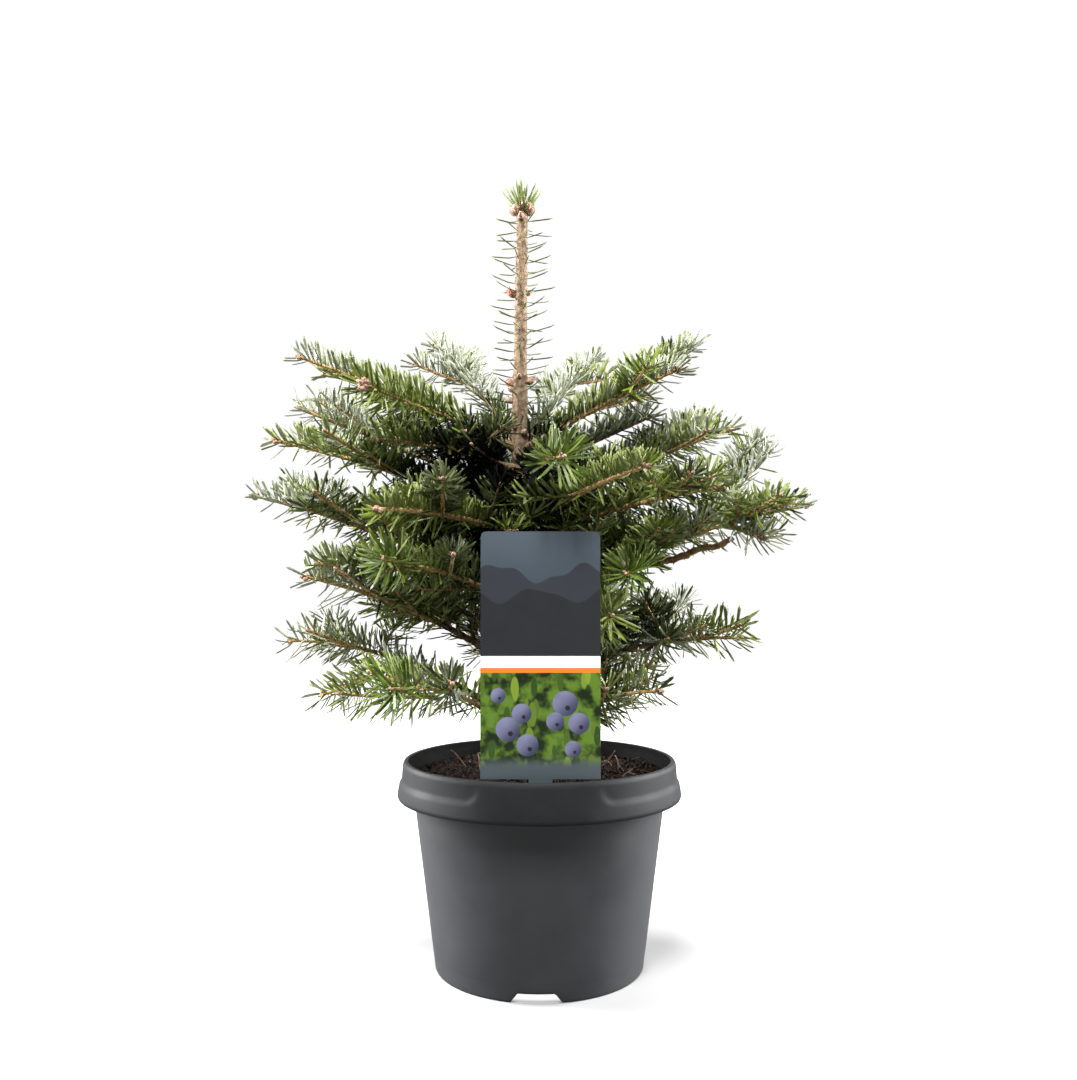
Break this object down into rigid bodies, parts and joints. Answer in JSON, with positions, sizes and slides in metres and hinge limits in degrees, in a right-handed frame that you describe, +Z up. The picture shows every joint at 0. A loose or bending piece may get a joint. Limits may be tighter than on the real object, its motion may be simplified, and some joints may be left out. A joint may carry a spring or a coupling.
{
  "type": "potted korean fir",
  "caption": "Young fir with whorled boughs and a bare upright leader, in a round tapered nursery pot with a plain picture label standing at its rim.",
  "frame": {"origin": "middle of the pot's flat underside", "axes": "+Z up along the plant, -Y towards the label at the front of the rim, +X to the right seen from that side"},
  "size_m": [0.3221, 0.2338, 0.4474],
  "materials": {
    "pot": "satin",
    "soil": "rough",
    "label": "gloss",
    "bark": "rough",
    "needles": "satin"
  },
  "bodies": {
    "root": {"bough_bottom_back": "bark", "bough_bottom_front_left": "bark", "bough_bottom_left": "bark", "bough_lower_back_left": "bark", "bough_lower_back_right": "bark", "bough_lower_left": "bark", "bough_lower_right": "bark", "bough_middle_back_left": "bark", "bough_middle_back_right": "bark", "bough_middle_front_left": "bark", "bough_middle_left": "bark", "bough_middle_right": "bark", "bough_top_back_left": "bark", "bough_top_back_right": "bark", "bough_top_front": "bark", "bough_top_left": "bark", "bough_top_right": "bark", "bough_upper_back": "bark", "bough_upper_back_left": "bark", "bough_upper_front_left": "bark", "bough_upper_front_right": "bark", "bough_upper_left": "bark", "bough_upper_low_right": "bark", "bough_upper_right": "bark", "foliage_bottom_back": "needles", "foliage_bottom_front_left": "needles", "foliage_bottom_front_right": "needles", "foliage_bottom_left": "needles", "foliage_leader": "needles", "foliage_lower_back_left": "needles", "foliage_lower_back_right": "needles", "foliage_lower_front_right": "needles", "foliage_lower_left": "needles", "foliage_lower_right": "needles", "foliage_middle_back_left": "needles", "foliage_middle_back_right": "needles", "foliage_middle_front_left": "needles", "foliage_middle_front_right": "needles", "foliage_middle_left": "needles", "foliage_middle_right": "needles", "foliage_top_back_left": "needles", "foliage_top_back_right": "needles", "foliage_top_front": "needles", "foliage_top_front_left": "needles", "foliage_top_left": "needles", "foliage_top_right": "needles", "foliage_upper_back": "needles", "foliage_upper_back_left": "needles", "foliage_upper_front_left": "needles", "foliage_upper_front_right": "needles", "foliage_upper_left": "needles", "foliage_upper_low_right": "needles", "foliage_upper_right": "needles", "plant_label": "label", "pot": "pot", "soil": "soil", "trunk": "bark"}
  },
  "joints": []
}
